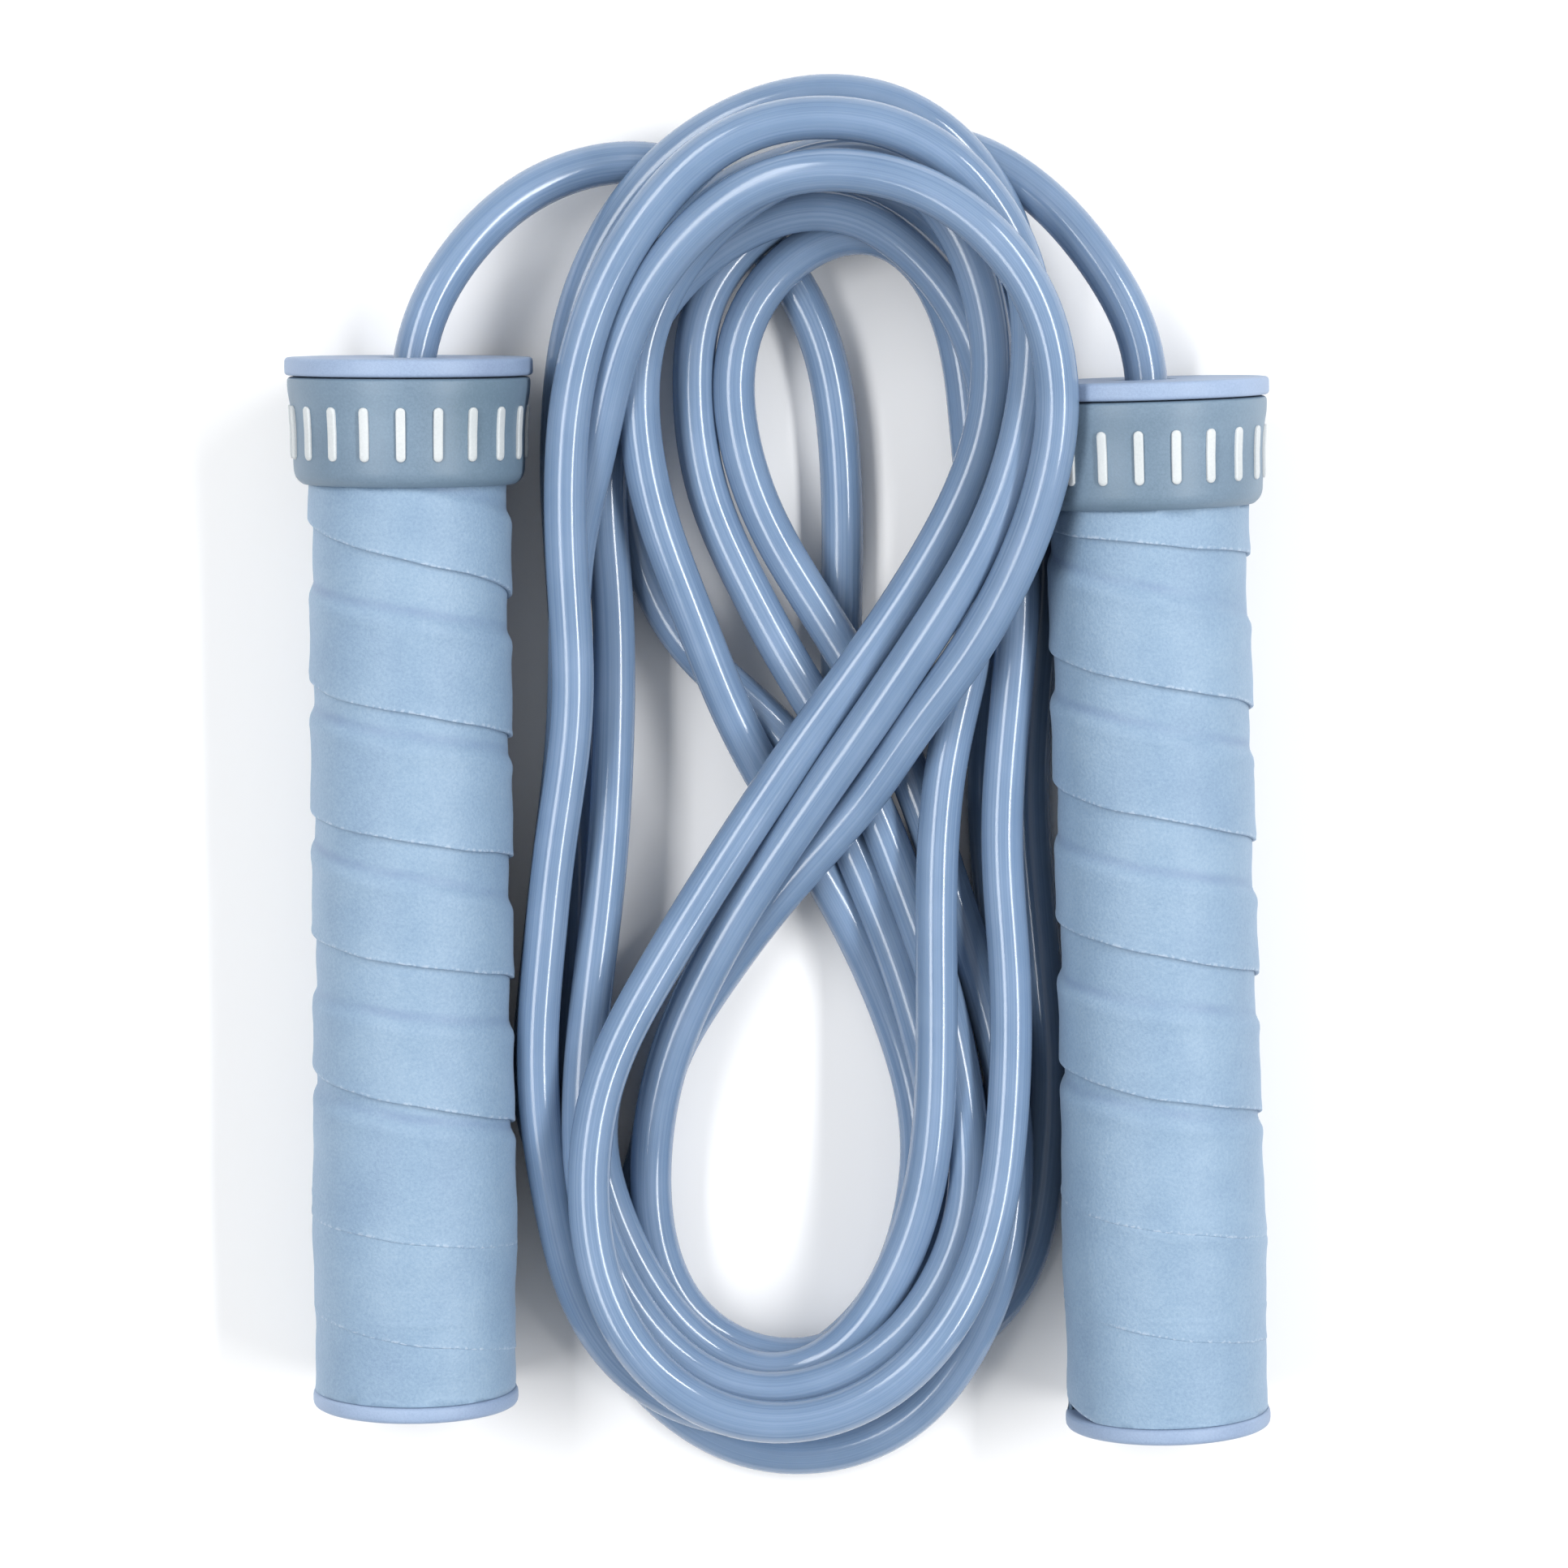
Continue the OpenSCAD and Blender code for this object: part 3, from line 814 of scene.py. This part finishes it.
# Profiles of (distance along the handle, radius). The flanged cap has a skirt in the core tube.
SKIRT = 10
FACE = 1.8
RIM_SEAT_R = CORE_R + 0.3
FLANGE_PROFILE = [
    (CORE_TOP - FACE, CORD_HOLE_R), (HANDLE_L, CORD_HOLE_R), (HANDLE_L, FLANGE_R),
    (FLANGE_AT, FLANGE_R), (FLANGE_AT, RIM_SEAT_R), (CORE_TOP, RIM_SEAT_R),
    (CORE_TOP, CORE_BORE), (CORE_TOP - SKIRT, CORE_BORE), (CORE_TOP - SKIRT, PLUG_R),
    (CORE_TOP - FACE, PLUG_R)]
END_CAP_FACE = [(0, 0.0), (0, END_CAP_R), (END_CAP_T, END_CAP_R), (END_CAP_T, CORE_BORE)]
END_CAP_SKIRT = [(END_CAP_T + SKIRT, CORE_BORE), (END_CAP_T + SKIRT, PLUG_R),
                 (END_CAP_T, PLUG_R), (END_CAP_T, 0.0)]
# The band's outside, from its foot: (distance above the foot, radius). It widens to a lip.
BAND_OUTSIDE = [
    (0, 12.6), (0.02, 12.95), (0.15, 13.15), (0.45, 13.5), (0.9, 13.85), (1.6, 14.06),
    (3.2, 14.14), (6.6, 14.17), (8.6, 14.3), (10.0, 14.52), (11.1, 14.72), (12.0, 14.8),
    (12.7, 14.78), (12.95, 14.62)]
BAND_PROFILE = [(BAND_FOOT + d, r) for d, r in BAND_OUTSIDE] + [
    (BAND_TOP, 14.3), (BAND_TOP, CORE_R + 0.01), (BAND_FOOT, CORE_R + 0.01)]
BAR_COUNT = 20
BAR_L = 6.5
BAR_WIDTH = 1.15
BAR_FOOT = BAND_FOOT + 3.1
BAR_STAND = 0.39
BAR_ROUND_R = 14.2
BAR_SIDES = 28
BAR_TURN = {"left": 0.0, "right": 0.13}


def closed_rounded(profile, radius, steps=6):
    """A closed profile with every corner rounded, as in rounded."""
    loop = list(profile[-1:]) + list(profile) + list(profile[:1])
    return rounded(loop, radius, steps)[1:-1]


def dense(profile, step):
    """A closed profile with points added along its edges, none further apart than a step."""
    profile = np.asarray(profile, float)
    nexts = np.roll(profile, -1, axis=0)
    run = np.concatenate([[0], np.cumsum(np.linalg.norm(nexts - profile, axis=1))])
    loop = np.concatenate([profile, profile[:1]])
    keep = np.unique(np.concatenate([run[:-1], np.arange(0, run[-1], step)]))
    return np.stack([np.interp(keep, run, loop[:, k]) for k in range(2)], axis=1)


def rounded_bars(side):
    """Raised bars around the band: each is a pill-shaped pad, domed across its width.

    A pad is a grid of rings: ring k shrinks the pill's outline by its own share and stands out
    about as the square root of what is left, down to one point at its middle.
    """
    base, across, up, along = handle_axes(side)
    t = 2 * np.pi * np.arange(BAR_SIDES) / BAR_SIDES
    outline = np.stack([np.cos(t) * BAR_WIDTH / 2, np.sin(t) * BAR_WIDTH / 2], axis=1)
    outline[:, 1] += np.sign(np.round(np.sin(t), 6)) * (BAR_L - BAR_WIDTH) / 2
    share = np.array([1.0, 1.0, 0.97, 0.88, 0.7, 0.4, 0.0])
    out = np.array([-0.25, 0.2, 0.3, 0.36, 0.38, BAR_STAND, BAR_STAND])
    flat = outline[None] * share[:, None, None]
    work = bmesh.new()
    for k in range(BAR_COUNT):
        angle = BAR_TURN[side] + 2 * np.pi * k / BAR_COUNT + flat[..., 0] / BAR_ROUND_R
        s = BAR_FOOT + BAR_L / 2 + flat[..., 1]
        r = np.interp(s, *np.transpose(BAND_PROFILE[:len(BAND_OUTSIDE)])) + out[:, None]
        ring = np.cos(angle)[..., None] * across + np.sin(angle)[..., None] * up
        bar = skin(f"bar_{side}_{k}", base + s[..., None] * along + r[..., None] * ring)
        work.from_mesh(bar.data)
        bpy.data.meshes.remove(bar.data)
    mesh = bpy.data.meshes.new(f"band_bars_{side}")
    work.to_mesh(mesh)
    work.free()
    mesh.shade_smooth()
    whole = bpy.data.objects.new(f"band_bars_{side}", mesh)
    bpy.context.collection.objects.link(whole)
    return whole


def outward(piece):
    """Turns a closed skin's faces outwards."""
    work = bmesh.new()
    work.from_mesh(piece.data)
    bmesh.ops.recalc_face_normals(work, faces=work.faces)
    work.to_mesh(piece.data)
    work.free()


def round_skin(name, side, profile, step):
    """A turned, closed skin of a profile, with no two of its rings further apart than a step."""
    return skin(f"{name}_{side}", turned(side, dense(profile, step)), wrap_rows=True)


for side in SIDES:
    flange = round_skin("flange", side, closed_rounded(FLANGE_PROFILE, 0.55), 1.0)
    cap_profile = np.concatenate([rounded(END_CAP_FACE, 0.8), END_CAP_SKIRT])
    foot_cap = round_skin("foot_cap", side, cap_profile, 1.0)
    band = round_skin("band", side, closed_rounded(BAND_PROFILE, 0.3, 3), 0.8)
    bars = rounded_bars(side)
    tape = grip_tape(side)
    for piece, cad_node, slot, made in (
            (flange, "rope_cap", "cap_plastic", CAP_ABS),
            (foot_cap, "end_cap", "cap_plastic", CAP_ABS),
            (band, "silicone_band", "band_silicone", BAND_SILICONE),
            (bars, "band_marks", "mark_silicone", MARK_SILICONE),
            (tape, "grip_tape", "grip_tape", GRIP_TAPE)):
        outward(piece)
        wear_material(piece, made)
        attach(piece, f"handle_{side}")
        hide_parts(f"{cad_node}_{side}")
    wear_material(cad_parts[f"core_tube_{side}"], CORE_PP)
    wear_material(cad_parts[f"rope_stopper_{side}"], FERRULE_METAL)
    wear_material(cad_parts[f"washer_{side}"], WASHER_NYLON)

# ---------- table, light and camera ----------

TABLE_HALF = 3.0        # metres
TABLE_DROP = 0.0002     # the table lies this far under the object, so that the two don't fight
table_mesh = bpy.data.meshes.new("table")
table_mesh.from_pydata([(x * TABLE_HALF, y * TABLE_HALF, -TABLE_DROP)
                        for x, y in ((-1, -1), (1, -1), (1, 1), (-1, 1))], [], [(0, 1, 2, 3)])
table = bpy.data.objects.new("table", table_mesh)
bpy.context.collection.objects.link(table)
paper, paper_tree = material("matt_paper")
paper_shader = node(paper_tree, "ShaderNodeBsdfPrincipled", inputs={
    "Base Color": linear("efefef"), "Roughness": 0.9, "Specular IOR Level": 0.2})
finish_material(paper, paper_tree, paper_shader)
wear_material(table, paper)

world = bpy.data.worlds.new("studio")
world.use_nodes = True
world.node_tree.nodes["Background"].inputs["Color"].default_value = linear("f7f8fa")
world.node_tree.nodes["Background"].inputs["Strength"].default_value = 0.45
bpy.context.scene.world = world

# A long strip on each side of the table, and a broad, weak panel over its far edge. Each row is
# a name, a place, a size and a power, in metres and watts; each lamp faces the table's middle.
LAMPS = (
    ("strip_left", (-0.52, 0.15, 0.85), (0.26, 1.2), 8.1),
    ("strip_right", (0.6, 0.15, 0.78), (0.12, 1.2), 10.2),
    ("panel_above", (-0.1, 0.6, 1.2), (1.2, 1.0), 1.3),
)
for name, (x, y, z), size, power in LAMPS:
    lamp = bpy.data.lights.new(name, "AREA")
    lamp.shape = "RECTANGLE"
    lamp.size, lamp.size_y = size
    lamp.energy = power
    holder = bpy.data.objects.new(name, lamp)
    holder.location = (x, y, z)
    holder.rotation_euler = (math.atan2(-y, math.hypot(x, z)), math.atan2(x, z), 0)
    bpy.context.collection.objects.link(holder)

# The camera hangs over the table and looks down, tipped a little towards the near edge.
CAMERA_AT = (0.00025, 0.0653, 0.65)
CAMERA_TIP = math.atan2(0.065 - 0.01335, 0.65 - 0.012)
camera_data = bpy.data.cameras.new("camera")
camera_data.sensor_width = 36.0
camera_data.lens = 119.3
camera_data.clip_start = 0.02
camera = bpy.data.objects.new("camera", camera_data)
camera.location = CAMERA_AT
camera.rotation_euler = (-CAMERA_TIP, 0, 0)
bpy.context.collection.objects.link(camera)
bpy.context.scene.camera = camera
bpy.context.scene.view_settings.view_transform = "Standard"
